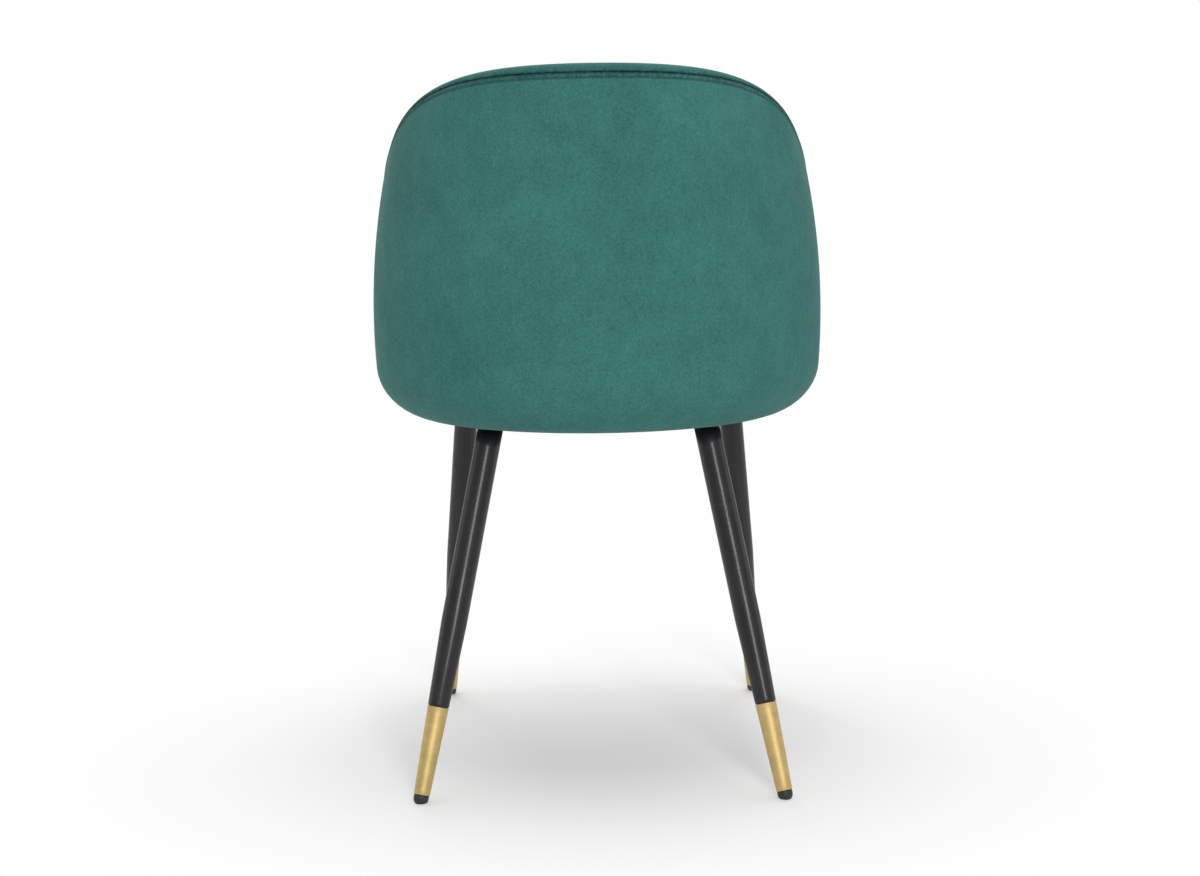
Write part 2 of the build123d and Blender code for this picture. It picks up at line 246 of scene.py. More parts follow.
class Paint:
    """A material under construction."""

    def __init__(self, name):
        self.material = bpy.data.materials.new(name)
        self.material.use_nodes = True
        self.tree = self.material.node_tree
        self.tree.nodes.clear()
        self.coords = self.node("ShaderNodeTexCoord", {}, {}).outputs["Object"]

    def node(self, kind, settings, inputs):
        """Adds a node: its settings first, then the values or links of its sockets."""
        made = self.tree.nodes.new(kind)
        for key, value in settings.items():
            setattr(made, key, value)
        for key, value in inputs.items():
            if isinstance(value, Socket):
                value = value.output
            if isinstance(value, bpy.types.NodeSocket):
                self.tree.links.new(value, made.inputs[key])
            else:
                made.inputs[key].default_value = value
        return made

    def stretched(self, x, y, z):
        """Object coordinates multiplied along each axis."""
        node = self.node("ShaderNodeMapping", {}, {"Vector": self.coords, "Scale": (x, y, z)})
        return node.outputs["Vector"]

    def noise(self, scale, detail=3.0, rough=0.55, coords=None, distortion=0.0):
        """Cloudy noise from 0 to 1. A larger scale makes it finer."""
        inputs = {
            "Vector": coords or self.coords,
            "Scale": scale,
            "Detail": detail,
            "Roughness": rough,
            "Distortion": distortion,
        }
        return Socket(self, self.node("ShaderNodeTexNoise", {}, inputs).outputs["Fac"])

    def grains(self, scale, coords=None):
        """Distance to the nearest of many scattered points."""
        inputs = {"Vector": coords or self.coords, "Scale": scale}
        return Socket(self, self.node("ShaderNodeTexVoronoi", {}, inputs).outputs["Distance"])

    def attribute(self, name):
        """A number stored on the points of the mesh."""
        node = self.node("ShaderNodeAttribute", {"attribute_name": name}, {})
        return Socket(self, node.outputs["Fac"])

    def spread(self, value, low, high, out_low=0.0, out_high=1.0):
        """value between low and high, carried to between out_low and out_high."""
        inputs = {0: value, 1: low, 2: high, 3: out_low, 4: out_high}
        node = self.node("ShaderNodeMapRange", {"clamp": True}, inputs)
        return Socket(self, node.outputs[0])

    def mix(self, factor, first, second):
        """One colour turning into another as factor goes from 0 to 1."""
        settings = {"data_type": "RGBA", "clamp_factor": True}
        node = self.node("ShaderNodeMix", settings, {0: factor, 6: first, 7: second})
        return node.outputs[2]

    def bump(self, height, strength, distance, under=None):
        """A normal raised by height, on top of the normal under it."""
        inputs = {"Height": height, "Strength": strength, "Distance": distance}
        if under is not None:
            inputs["Normal"] = under
        return self.node("ShaderNodeBump", {}, inputs).outputs["Normal"]

    def finish(self, **sockets):
        """Ends the material with a Principled shader. An underscore stands for a space."""
        inputs = {key.replace("_", " "): value for key, value in sockets.items()}
        shader = self.node("ShaderNodeBsdfPrincipled", {}, inputs)
        self.node("ShaderNodeOutputMaterial", {}, {"Surface": shader.outputs["BSDF"]})
        return self.material


def rgb(red, green, blue):
    """An opaque colour in linear light."""
    return (red, green, blue, 1.0)


def velvet(name, dark, middle, light):
    """Short-pile velvet: brushed patches, soft clouds, a fine speckle of pile tips, painted seam
    shade.
    """
    p = Paint(name)
    brushed = p.noise(1.0, 3.0, 0.5, p.stretched(8, 8, 6), 0.6)
    cloud = p.noise(40.0, 3.0, 0.5)
    streak = p.noise(1.0, 3.0, 0.6, p.stretched(180, 180, 60), 0.4)
    speck = p.noise(400.0, 4.0, 0.95)
    grain = p.grains(1500.0)
    tone = brushed * 0.17 + cloud * 0.11 + streak * 0.10 + speck * 0.62
    low = p.mix(p.spread(tone, 0.385, 0.50), dark, middle)
    colour = p.mix(p.spread(tone, 0.50, 0.615), low, light)
    # Painted shade: a mottled dark band along the seam, standing in for the shade in the seam's
    # groove.
    seam = p.attribute("seam")
    painted_seam_shade = p.spread(p.noise(240.0, 4.0, 0.8), 0.40, 0.60) * seam * 0.85
    colour = p.mix(painted_seam_shade, colour, rgb(0.010, 0.050, 0.047))
    # Painted shade: a ragged near-black line in the seam's crease and the stitching's crease, and
    # on hidden inner faces.
    ragged = p.spread(p.noise(260.0, 3.0, 0.7), 0.40, 0.58, 0.12, 0.85)
    colour = p.mix(p.attribute("painted_crease_shade") * ragged, colour, rgb(0.004, 0.018, 0.017))
    worn = p.attribute("crest")
    mottle = p.spread(p.noise(170.0, 4.0, 0.8), 0.42, 0.60)
    colour = p.mix(worn * mottle * 0.55, colour, light)
    colour = p.mix(worn * (1 - mottle) * 0.40, colour, dark)
    rough = p.spread(tone, 0.3, 0.7, 0.92, 0.74)
    pile = speck * 0.6 + grain * 0.4
    soft = p.bump(brushed * 0.5 + cloud * 0.5, 0.25, 0.0015)
    fine = p.bump(pile, 0.35, 0.0004, soft)
    return p.finish(
        Base_Color=colour,
        Roughness=rough,
        Normal=fine,
        Sheen_Weight=0.07,
        Sheen_Roughness=0.30,
        Sheen_Tint=rgb(0.55, 0.90, 0.85),
        Specular_IOR_Level=0.18,
    )


def thread(name, colour_low, colour_high):
    """Twisted sewing thread."""
    p = Paint(name)
    twist = p.noise(1400.0, 2.0, 0.5)
    colour = p.mix(p.spread(twist, 0.35, 0.65), colour_low, colour_high)
    return p.finish(Base_Color=colour, Roughness=p.spread(twist, 0.3, 0.7, 0.5, 0.75),
                    Normal=p.bump(twist, 0.4, 0.0002))


def powder_coat(name):
    """Satin black powder coat on steel: fine orange peel, faint handling marks, dust."""
    p = Paint(name)
    peel = p.noise(420.0, 2.0, 0.5)
    marks = p.noise(1.0, 5.0, 0.65, p.stretched(60, 60, 9), 0.4)
    dust = p.noise(38.0, 5.0, 0.7)
    colour = p.mix(p.spread(marks, 0.35, 0.7), rgb(0.005, 0.005, 0.006), rgb(0.012, 0.012, 0.0135))
    colour = p.mix(p.spread(dust, 0.58, 0.82, 0.0, 0.35), colour, rgb(0.045, 0.044, 0.042))
    rough = p.spread(marks, 0.3, 0.7, 0.42, 0.52)
    return p.finish(
        Base_Color=colour,
        Roughness=rough,
        Normal=p.bump(peel, 0.06, 0.0003),
        Coat_Weight=p.spread(dust, 0.3, 0.8, 0.30, 0.16),
        Coat_Roughness=0.10,
        Specular_IOR_Level=0.30,
    )


def brushed_brass(name):
    """Satin brass turned on a lathe: fine rings, soft tarnish, brighter where it is rubbed."""
    p = Paint(name)
    rings = p.noise(1.0, 3.0, 0.6, p.stretched(60, 60, 1900))
    tarnish = p.noise(46.0, 5.0, 0.62)
    colour = p.mix(p.spread(tarnish, 0.35, 0.7), rgb(0.60, 0.448, 0.190), rgb(0.47, 0.340, 0.135))
    colour = p.mix(p.spread(rings, 0.4, 0.62, 0.0, 0.5), colour, rgb(0.68, 0.530, 0.255))
    rough = p.spread(rings, 0.3, 0.7, 0.50, 0.64)
    return p.finish(
        Base_Color=colour,
        Metallic=1.0,
        Roughness=rough,
        Normal=p.bump(rings, 0.12, 0.0001),
    )


def moulded_rubber(name):
    """Black rubber with scuffs from the floor."""
    p = Paint(name)
    mould = p.noise(700.0, 3.0, 0.6)
    scuff = p.noise(120.0, 5.0, 0.7)
    colour = p.mix(p.spread(scuff, 0.45, 0.75), rgb(0.010, 0.010, 0.011), rgb(0.035, 0.034, 0.033))
    return p.finish(Base_Color=colour, Roughness=p.spread(scuff, 0.3, 0.7, 0.42, 0.7),
                    Normal=p.bump(mould, 0.2, 0.0003))


def felted_cloth(name):
    """Thin black non-woven cloth: pressed fibres with a grid of bonding dots."""
    p = Paint(name)
    fibres = p.noise(1.0, 4.0, 0.7, p.stretched(900, 260, 900), 1.2)
    dots = p.grains(420.0)
    colour = p.mix(p.spread(fibres, 0.35, 0.65), rgb(0.010, 0.010, 0.011), rgb(0.036, 0.036, 0.038))
    colour = p.mix(p.spread(dots, 0.15, 0.3, 0.6, 0.0), colour, rgb(0.006, 0.006, 0.006))
    return p.finish(Base_Color=colour, Roughness=p.spread(fibres, 0.3, 0.7, 0.75, 0.95),
                    Normal=p.bump(fibres * 0.5 + dots * 0.5, 0.5, 0.0005))


def zinc_plate(name):
    """Bright zinc on steel fasteners, with a faint spangle."""
    p = Paint(name)
    spangle = p.noise(260.0, 4.0, 0.6)
    colour = p.mix(p.spread(spangle, 0.35, 0.68), rgb(0.46, 0.46, 0.45), rgb(0.68, 0.69, 0.70))
    rough = p.spread(spangle, 0.3, 0.7, 0.25, 0.5)
    return p.finish(Base_Color=colour, Metallic=1.0, Roughness=rough,
                    Normal=p.bump(spangle, 0.15, 0.0002))


def plywood(name):
    """Birch plywood: long grain on the faces and dark plies at the edges."""
    p = Paint(name)
    grain = p.noise(1.0, 5.0, 0.6, p.stretched(110, 9, 700), 0.8)
    plies = p.noise(1.0, 0.0, 0.5, p.stretched(0.5, 0.5, 650))
    colour = p.mix(p.spread(grain, 0.35, 0.66), rgb(0.36, 0.23, 0.12), rgb(0.60, 0.43, 0.25))
    colour = p.mix(p.spread(plies, 0.45, 0.55, 0.0, 0.4), colour, rgb(0.30, 0.18, 0.09))
    return p.finish(Base_Color=colour, Roughness=p.spread(grain, 0.3, 0.7, 0.55, 0.75),
                    Normal=p.bump(grain, 0.25, 0.0004))


def moulded_plastic(name):
    """Dark moulded plastic with a fine grit."""
    p = Paint(name)
    cloud = p.noise(55.0, 4.0, 0.6)
    grit = p.noise(800.0, 2.0, 0.5)
    colour = p.mix(p.spread(cloud, 0.35, 0.65), rgb(0.030, 0.030, 0.033), rgb(0.060, 0.060, 0.064))
    return p.finish(Base_Color=colour, Roughness=p.spread(grit, 0.3, 0.7, 0.45, 0.6),
                    Normal=p.bump(grit, 0.2, 0.0003))


def pale_floor(name):
    """Matt white floor round the object that goes over into a white glow further out: painted light
    standing in for an evenly lit floor.
    """
    p = Paint(name)
    cloud = p.noise(0.8, 2.0, 0.5)
    colour = p.mix(p.spread(cloud, 0.3, 0.7), rgb(0.88, 0.88, 0.88), rgb(0.90, 0.90, 0.90))
    surface = {"Base Color": colour, "Roughness": 0.7, "Specular IOR Level": 0.1}
    matt = p.node("ShaderNodeBsdfPrincipled", {}, surface)
    # Painted light: the floor glows white instead of being lit, more so further from the object.
    glow = p.node("ShaderNodeEmission", {}, {"Color": rgb(1, 1, 1), "Strength": 1.0})
    oval = {"Vector": p.coords, "Location": (0, 0.12, 0), "Scale": (0.78, 1.0, 1.0)}
    middle = p.node("ShaderNodeMapping", {}, oval)
    away = p.node("ShaderNodeVectorMath", {"operation": "LENGTH"}, {0: middle.outputs["Vector"]})
    share = p.spread(Socket(p, away.outputs["Value"]), 0.22, 0.62)
    mixed = p.node("ShaderNodeMixShader", {}, {0: share, 1: matt.outputs[0], 2: glow.outputs[0]})
    p.node("ShaderNodeOutputMaterial", {}, {"Surface": mixed.outputs[0]})
    return p.material


DEEP = rgb(0.019, 0.092, 0.086)
TEAL = rgb(0.032, 0.134, 0.121)
PALE = rgb(0.050, 0.180, 0.160)
tub_velvet = velvet("tub_velvet", DEEP, TEAL, PALE)
pad_velvet = velvet("pad_velvet", DEEP, TEAL, PALE)
stitch_thread = thread("stitch_thread", rgb(0.016, 0.070, 0.066), rgb(0.035, 0.125, 0.118))
black_coat = powder_coat("satin_black_coat")
brass = brushed_brass("brushed_brass")
rubber = moulded_rubber("moulded_rubber")
zinc = zinc_plate("zinc_plate")

# ---------------------------------------------------------------- outer cover of the tub

COVER_COLUMNS = 640
SEAM_ZONE = 0.012  # finely divided strip of the cover below the seam
SWELL_DROP = 0.0026  # fullest part of the cover between seam and stitching, below the seam
STITCH_DROP = 0.0053  # topstitching below the seam
SEAM_WAVES = (  # height of a wave of the cover, its place below the seam and its width
    (-0.0016, 0.0, 0.0010),
    (0.0007, SWELL_DROP, 0.0013),
    (-0.0011, STITCH_DROP, 0.0008),
    (0.0004, 0.0080, 0.0017),
)
WAVINESS = 0.00022
FACE_ABOVE_HEM = 0.004  # the cover's inner face starts this far above the underside


def seam_profile(below):
    """How far the cover stands out at a distance below the seam.

    It dives into the seam, swells between seam and stitching, is pulled in by the stitching and
    swells a little again below it.
    """
    return sum(height * bell(below, place, width) for height, place, width in SEAM_WAVES)


def fabric_lie(u, z):
    """Slight waviness of velvet over wadding, under half a millimetre, from a few long waves."""
    a = u * np.pi / 2
    wave = np.sin(9 * a + 1.3) * np.sin(14 * z + 0.4) + 0.7 * np.sin(17 * a - 8 * z)
    return WAVINESS * (wave + 0.6 * np.sin(31 * a + 21 * z + 2.0))


def cover_grid():
    """Rows round the cover and how much painted crease shade each gets: hem, quarter round, wall,
    seam, back inside.
    """
    u = places_round(COVER_COLUMNS)
    seam_z = rim_on_tub(u, SEAM_DROP)
    rows, seam_marks = [], []

    def add(row, mark=0.0):
        rows.append(row)
        seam_marks.append(np.full(len(u), mark))

    def add_under(edge, z):
        add(plan_point(u, np.full_like(u, z), edge, edge, edge))

    for share in np.linspace(0, 1, 5)[:-1]:
        add_under(BASE_ROUNDING + HEM * (1 - share), BASE_Z)
    room = seam_z - SEAM_ZONE - BASE_Z
    for climb in 1 - np.cos(np.linspace(0, np.pi / 2, 13)[:-1]):
        z = BASE_Z + BASE_ROUNDING * climb * np.minimum(1, room / BASE_ROUNDING)
        add(tub_point(u, z, 0))
    start = BASE_Z + np.minimum(BASE_ROUNDING, room)
    stop = seam_z - SEAM_ZONE
    for share in np.linspace(0, 1, 70)[:-1]:
        z = start + (stop - start) * share
        add(tub_point(u, z, 0) + outward(u, z) * fabric_lie(u, z)[:, None])
    for below in np.linspace(SEAM_ZONE, 0, 31):
        z = seam_z - below
        lift = seam_profile(below) + fabric_lie(u, z)
        # Painted shade: dark lines at the seam and along the stitching.
        mark = bell(below, 0, 0.0012) + 0.7 * bell(below, STITCH_DROP, 0.0007)
        add(tub_point(u, z, 0) + outward(u, z) * lift[:, None], min(1.0, mark))
    inner = COVER - 0.0001
    low, high = BASE_Z + FACE_ABOVE_HEM, seam_z - 0.0012
    for share in np.linspace(1, 0, 12):
        z = low + (high - low) * share
        # The cover's hidden inner face gets full painted shade.
        add(tub_point(u, np.maximum(z, BASE_Z + inner), inner), 1.0)
    add_under(BASE_ROUNDING + 0.3 * HEM, BASE_Z + inner)
    add_under(BASE_ROUNDING + HEM, BASE_Z + inner)
    return np.array(rows), np.array(seam_marks)


grid, marks = cover_grid()
tub_cover = ring_piece("tub_cover", grid, tub_velvet)
below_seam = rim_on_tub(places_round(COVER_COLUMNS), SEAM_DROP) - grid[..., 2]
set_attribute(tub_cover, "painted_crease_shade", marks)
# Painted shade: a band between the seam and the stitching, darkened with mottling in the velvet.
set_attribute(tub_cover, "seam", np.exp(-(((below_seam - SWELL_DROP) / 0.0030) ** 4)))
set_attribute(tub_cover, "crest", np.zeros(marks.shape))
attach(tub_cover, "root")
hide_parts("outer_cover")

# ---------------------------------------------------------------- topstitching

STITCH_PITCH = 0.0042
STITCH_LENGTH = 0.0031
THREAD_R = 0.00042
THREAD_RINGS, THREAD_SIDES = 7, 6
ARC_TOP, ARC_DIP = 0.00045, 0.0009  # a stitch's middle above the cloth, and its ends below that


def stitch_line(u):
    """The topstitching's line on the cover, and the direction away from the cover along it."""
    z = rim_on_tub(u, SEAM_DROP) - STITCH_DROP
    lift = seam_profile(np.full_like(u, STITCH_DROP)) + fabric_lie(u, z)
    return tub_point(u, z, 0) + outward(u, z) * lift[:, None], outward(u, z)


def stitches(name, material):
    """Short thread arcs, evenly spaced by length along the line, with their ends in the cloth."""
    u = np.linspace(0, 4, 16001)
    line, away = stitch_line(u)
    length = np.concatenate([[0], np.cumsum(np.linalg.norm(np.diff(line, axis=0), axis=1))])
    count = int(length[-1] / STITCH_PITCH)
    places = (np.arange(count) + 0.5) * length[-1] / count
    spots = np.stack([np.interp(places, length, line[:, k]) for k in range(3)], -1)
    ahead = np.stack([np.interp(places + 0.0005, length, line[:, k]) for k in range(3)], -1)
    lift = np.stack([np.interp(places, length, away[:, k]) for k in range(3)], -1)
    along = ahead - spots
    along /= np.linalg.norm(along, axis=1, keepdims=True)
    lift -= along * np.sum(along * lift, axis=1, keepdims=True)
    lift /= np.linalg.norm(lift, axis=1, keepdims=True)
    side = np.cross(along, lift)
    s = np.linspace(-1, 1, THREAD_RINGS)
    turn = np.linspace(0, 2 * np.pi, THREAD_SIDES, endpoint=False)
    radius = THREAD_R * np.sqrt(np.clip(1 - s**6, 0.02, 1))
    height = ARC_TOP - ARC_DIP * s**4
    lengthwise = (s * STITCH_LENGTH / 2)[:, None] * np.ones(THREAD_SIDES)
    upward = height[:, None] + radius[:, None] * np.sin(turn)
    sideways = radius[:, None] * np.cos(turn)
    points = spots[:, None, None]
    for amount, direction in ((lengthwise, along), (upward, lift), (sideways, side)):
        points = points + amount[None, ..., None] * direction[:, None, None]
    one = grid_faces(THREAD_RINGS, THREAD_SIDES, False, True)
    if signed_volume(points[0].reshape(-1, 3), one) < 0:
        one = one[:, ::-1]
    first_points = np.arange(count) * THREAD_RINGS * THREAD_SIDES
    quads = (one[None] + first_points[:, None, None]).reshape(-1, 4)
    return mesh_object(name, points, quads.tolist(), material)


topstitching = stitches("topstitching", stitch_thread)
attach(topstitching, "root")

# ---------------------------------------------------------------- back pad with its rolled rim

PAD_COLUMNS = 520
PAD_THICK, WING_THICK = 0.0345, 0.003  # pad along the back, and left where a wing runs out
ROLL_REACH = 0.016  # the crest of the roll lies this far inside the tub's face
ROLL_POWER = 2 / 2.3  # below 1, the roll is fuller than a half round
FACE_CROWN = 0.004  # fullness of the inner face
SEAT_PULL = 0.006  # the inner face is drawn in this much where the seat meets it
SHELL_FACE = 0.0105  # depth of the tub shell's inner face


def wing_share(y):
    """1 along the back and wings, falling to 0 where a wing runs out at the seat's front corner."""
    return smooth(WING_END_Y - 0.010, WING_END_Y + 0.055, y)


def pad_end():
    """The place round the tub where the wing at -X runs out, by search on a fine scale."""
    u = np.linspace(2, 3, 4001)
    y = tub_point(u, rim_on_tub(u, 0.0), 0)[:, 1]
    return u[np.argmin(np.abs(y - (WING_END_Y - 0.004)))]


def back_pad_grid():
    """Sections of the pad: up the roll from the seam, over the crest, down the inner face, back."""
    right = pad_end()
    u = np.linspace(2 - right, right, PAD_COLUMNS)
    seam_z = rim_on_tub(u, SEAM_DROP)
    y = tub_point(u, rim_on_tub(u, 0.0), 0)[:, 1]
    share = wing_share(y)
    crest_z = rim_on_tub(u, 0.0, ROLL_REACH * share) + 0.0006
    thick = PAD_THICK * share + WING_THICK
    rows, marks, crests = [], [], []

    def add(inset, z, mark=0.0, crest=0.0):
        depth = inset * np.ones_like(u)
        back = depth + (PAD_BACK - PAD_SIDE) * np.clip(inset / PAD_THICK, 0, 1) * share
        base = tub_point(u, z, 0)
        flat = plan_point(u, z, depth, back, depth * 0.35)
        outer_flat = plan_point(u, z, 0, 0, 0)
        rows.append(base + flat - outer_flat)
        marks.append(np.full(len(u), mark))
        crests.append(np.full(len(u), crest))

    half = thick / 2
    low_z = seam_z + 0.0004
    for turn in np.linspace(0, np.pi / 2, 17):
        reach = 1 - np.cos(turn) ** ROLL_POWER
        rise = np.sin(turn) ** ROLL_POWER
        above_seam = rise * SEAM_DROP
        tuck = 0.0015 * bell(above_seam, 0, 0.0012) - 0.0006 * np.sin(2 * turn)
        z = low_z + (crest_z - low_z) * rise
        # Painted shade: a dark line where the roll meets the seam.
        add(half * reach + tuck, z, bell(above_seam, 0, 0.0011), np.sin(turn) ** 4)
    inner_drop = np.minimum(0.018, (crest_z - SEAT_FLOOR_Z) * 0.4)
    for turn in np.linspace(np.pi / 2, 0, 15)[1:]:
        reach = 1 + np.cos(turn) ** ROLL_POWER
        z = crest_z - inner_drop * (1 - np.sin(turn) ** ROLL_POWER)
        add(half * reach, z, 0.0, np.sin(turn) ** 4)
    floor_z = SEAT_FLOOR_Z + 0.004
    start_z = crest_z - inner_drop
    for step in np.linspace(0, 1, 44)[1:]:
        z = start_z + (floor_z - start_z) * step
        crown = FACE_CROWN * np.sin(np.pi * step) * share
        pull = SEAT_PULL * bell(z, SEAT_TOP_Z + 0.002, 0.014) * share
        add(thick + crown - pull, z)
    shell_face = np.minimum(SHELL_FACE, thick * 0.6)
    for step in np.linspace(0, 1, 4)[1:]:
        add(thick + (shell_face - thick) * step, floor_z * np.ones_like(u))
    under_z = np.maximum(seam_z - 0.001, floor_z + 0.001)
    for step in np.linspace(0, 1, 16)[1:]:
        # The pad's underside gets full painted shade.
        add(shell_face, floor_z + (under_z - floor_z) * step, 1.0)
    return np.array(rows), np.array(marks), np.array(crests)


grid, marks, crests = back_pad_grid()
back_pad = tube_piece("back_pad", grid.transpose(1, 0, 2), pad_velvet)


def end_repeated(values):
    """Values by column with the first and last column doubled, as the filled ends are."""
    values = values.T
    return np.concatenate([values[:1], values, values[-1:]], 0)


set_attribute(back_pad, "painted_crease_shade", end_repeated(marks))
# The low power widens the narrow line of painted crease shade into a wider band of painted seam
# shade
set_attribute(back_pad, "seam", end_repeated(marks**0.07))
set_attribute(back_pad, "crest", end_repeated(crests))
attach(back_pad, "root")
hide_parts("back_foam", "inner_back_cover")

# ---------------------------------------------------------------- seat cushion

SEAT_COLUMNS = 360
EDGE_INSET = 0.0400  # the cushion's edge inside the tub's face, between the wings
SEAT_BOTTOM_Z = SEAT_FLOOR_Z + 0.003
CUSHION_TUCK = 0.006  # at the front, its low edge is this far below the cover's seam
CUSHION_MIDDLE = np.array([0.0, -0.05])


def seat_grid():
    """Rings of the cushion from the middle of its underside, over the edge, to the top's middle.

    Between the wings its edge stays inside the back pad; at the front it runs out over the low rim.
    """
    u = places_round(SEAT_COLUMNS)
    y = tub_point(u, np.full_like(u, SEAT_TOP_Z - 0.010), 0)[:, 1]
    share = smooth(WING_END_Y - 0.008, WING_END_Y + 0.050, y)
    seam_z = rim_on_tub(u, SEAM_DROP)
    edge = EDGE_INSET * share
    back_edge = edge + (PAD_BACK - PAD_SIDE) * share
    low_z = SEAT_BOTTOM_Z + (seam_z - CUSHION_TUCK - SEAT_BOTTOM_Z) * (1 - share)
    top_z = SEAT_TOP_Z - 0.003
    rows = []

    def ring(scale, inset, z):
        outer = plan_point(u, z * np.ones_like(u), edge + inset, back_edge + inset, edge + inset)
        flat = outer[:, :2] * scale + CUSHION_MIDDLE * (1 - scale)
        rows.append(np.concatenate([flat, outer[:, 2:]], 1))

    for scale in np.linspace(0.0, 0.9, 10)[1:]:
        ring(scale, 0.0, SEAT_BOTTOM_Z)
    ring(0.96, 0.004 * share + 0.012 * (1 - share), low_z)
    for step in np.linspace(0, 1, 16):
        bulge = 0.0045 * (1 - (2 * step - 1) ** 4)
        corner = 0.011 * np.clip(abs(2 * step - 1) - 0.45, 0, 1) ** 2 / 0.3
        if step < 0.5:
            corner = corner * share
        ring(1.0, 0.0038 - bulge + corner, low_z + (top_z - low_z) * step)
    for scale in np.linspace(1.0, 0.0, 26)[1:-1]:
        crown = 0.012 * (1 - scale**2)
        ring(scale, 0.005, top_z + 0.0015 * (1 - scale**8) + crown * 0.6)
    return np.array(rows)


seat_cushion = tube_piece("seat_cushion", seat_grid(), pad_velvet)
CLOTH_FRAMES = 20
HELD_BELOW_TOP = 0.014  # cloth lower than this under the seat's top is held
SIDE_CAP, RISE_CAP = 0.0025, 0.012  # furthest the cushion may swell sideways and up


def point_places(mesh):
    """The places of a mesh's points, one row each."""
    places = np.empty(len(mesh.vertices) * 3)
    mesh.vertices.foreach_get("co", places)
    return places.reshape(-1, 3)


def inflate(piece):
    """Remeshes the cushion evenly and lets air pressure round it, held where it rests.

    Returns the places of its points before and after.
    """
    remesh = piece.modifiers.new("even", "REMESH")
    remesh.mode = "VOXEL"
    remesh.voxel_size = 0.005
    bake(piece)
    before = point_places(piece.data)
    held = piece.vertex_groups.new(name="held")
    low = np.minimum(rim_height(before[:, 1], SEAM_DROP) + 0.002, SEAT_TOP_Z - HELD_BELOW_TOP)
    resting = np.nonzero(before[:, 2] < low)[0]
    held.add([int(i) for i in resting], 1.0, "REPLACE")
    cloth = piece.modifiers.new("cloth", "CLOTH")
    cloth.settings.quality = 5
    cloth.settings.mass = 0.3
    cloth.settings.tension_stiffness = 15
    cloth.settings.compression_stiffness = 15
    cloth.settings.bending_stiffness = 0.8
    cloth.settings.use_pressure = True
    cloth.settings.uniform_pressure_force = 4.0
    cloth.settings.vertex_group_mass = "held"
    cloth.settings.effector_weights.gravity = 0.0
    cloth.point_cache.frame_start = 1
    cloth.point_cache.frame_end = CLOTH_FRAMES
    for step in range(1, CLOTH_FRAMES + 1):
        bpy.context.scene.frame_set(step)
    graph = bpy.context.evaluated_depsgraph_get()
    after = point_places(piece.evaluated_get(graph).data)
    piece.modifiers.remove(cloth)
    piece.vertex_groups.clear()
    bpy.context.scene.frame_set(1)
    return before, after


def bake(piece):
    """Applies the piece's modifiers to its mesh."""
    graph = bpy.context.evaluated_depsgraph_get()
    baked = bpy.data.meshes.new_from_object(piece.evaluated_get(graph))
    piece.modifiers.clear()
    old = piece.data
    piece.data = baked
    bpy.data.meshes.remove(old)


before, after = inflate(seat_cushion)
move = after - before
level = np.linalg.norm(move[:, :2], axis=1, keepdims=True)
move[:, :2] *= np.tanh(level / SIDE_CAP) * SIDE_CAP / np.maximum(level, 1e-9)
move[:, 2] = np.tanh(move[:, 2] / RISE_CAP) * RISE_CAP
seat_cushion.data.vertices.foreach_set("co", (before + move).ravel())
subdivision = seat_cushion.modifiers.new("even", "SUBSURF")
subdivision.levels = 1
subdivision.render_levels = 1
bake(seat_cushion)
seat_mesh = seat_cushion.data
seat_mesh.polygons.foreach_set("use_smooth", np.full(len(seat_mesh.polygons), True))
for attribute_name in ("seam", "painted_crease_shade", "crest"):
    set_attribute(seat_cushion, attribute_name, np.zeros(len(seat_mesh.vertices)))
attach(seat_cushion, "root")
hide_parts("seat_foam", "seat_cover")

# ---------------------------------------------------------------- legs

LEGS = {
    "front": ((0.2080, -0.2326), (0.1700, -0.1600)),
    "rear": ((0.2040, 0.2020), (0.1250, 0.0750)),
}
SIDES = {"left": 1, "right": -1}
LEG_TOP_Z = 0.404
TUBE_R, TIP_R = 0.01475, 0.00875
TAPER_TOP = 0.203
FERRULE_TOP, FERRULE_BOTTOM = 0.107, 0.009
FERRULE_WALL = 0.0012
GLIDE_R = 0.0085
GLIDE_DOME = 0.005
JOINT_GAP = 0.0005  # between the ferrule's top and the coated tube
BEVEL = 0.0004


def leg_radius(height):
    """Radius of the leg: straight above, then an even taper towards the floor."""
    return TUBE_R - (TUBE_R - TIP_R) * np.clip(TAPER_TOP - height, 0, None) / TAPER_TOP


def leg_frame(end, side):
    """The leg's foot on the floor, and unit directions along the leg and across it both ways."""
    foot, top = LEGS[end]
    start = np.array([SIDES[side] * foot[0], foot[1], 0])
    finish = np.array([SIDES[side] * top[0], top[1], LEG_TOP_Z])
    along = (finish - start) / np.linalg.norm(finish - start)
    across = np.cross([0, 1, 0], along)
    across /= np.linalg.norm(across)
    return start, along, across, np.cross(along, across)


def turned(profile, leg, count=64):
    """A profile of (radius, height along the leg) turned about the leg's axis, as rings."""
    start, along, across, other = leg
    radius, height = np.array(profile).T
    a = np.linspace(0, 2 * np.pi, count, endpoint=False)
    around = np.cos(a)[:, None] * across + np.sin(a)[:, None] * other
    return start + height[:, None, None] * along + radius[:, None, None] * around


def tube_rings(leg):
    """The coated tube: a spigot down into the ferrule, a rounded lip, the wall, a level top."""
    along = leg[1]
    lip = FERRULE_TOP + JOINT_GAP
    lip_r = leg_radius(lip)
    heights = np.concatenate([
        [lip - 0.012, lip - 0.0002, lip, lip + 0.0008, lip + 0.0020],
        np.linspace(lip + 0.004, TAPER_TOP - 0.02, 8),
        TAPER_TOP + np.array([-0.01, 0.0, 0.01]),
        np.linspace(TAPER_TOP + 0.02, LEG_TOP_Z / along[2], 10),
    ])
    radii = leg_radius(heights)
    radii[:4] = lip_r - np.array([0.0016, 0.0016, 0.0008, 0.00015])
    rings = turned(np.stack([radii, heights], 1), leg)
    slide = (LEG_TOP_Z - rings[-1, :, 2]) / along[2]
    rings[-1] += slide[:, None] * along
    return rings


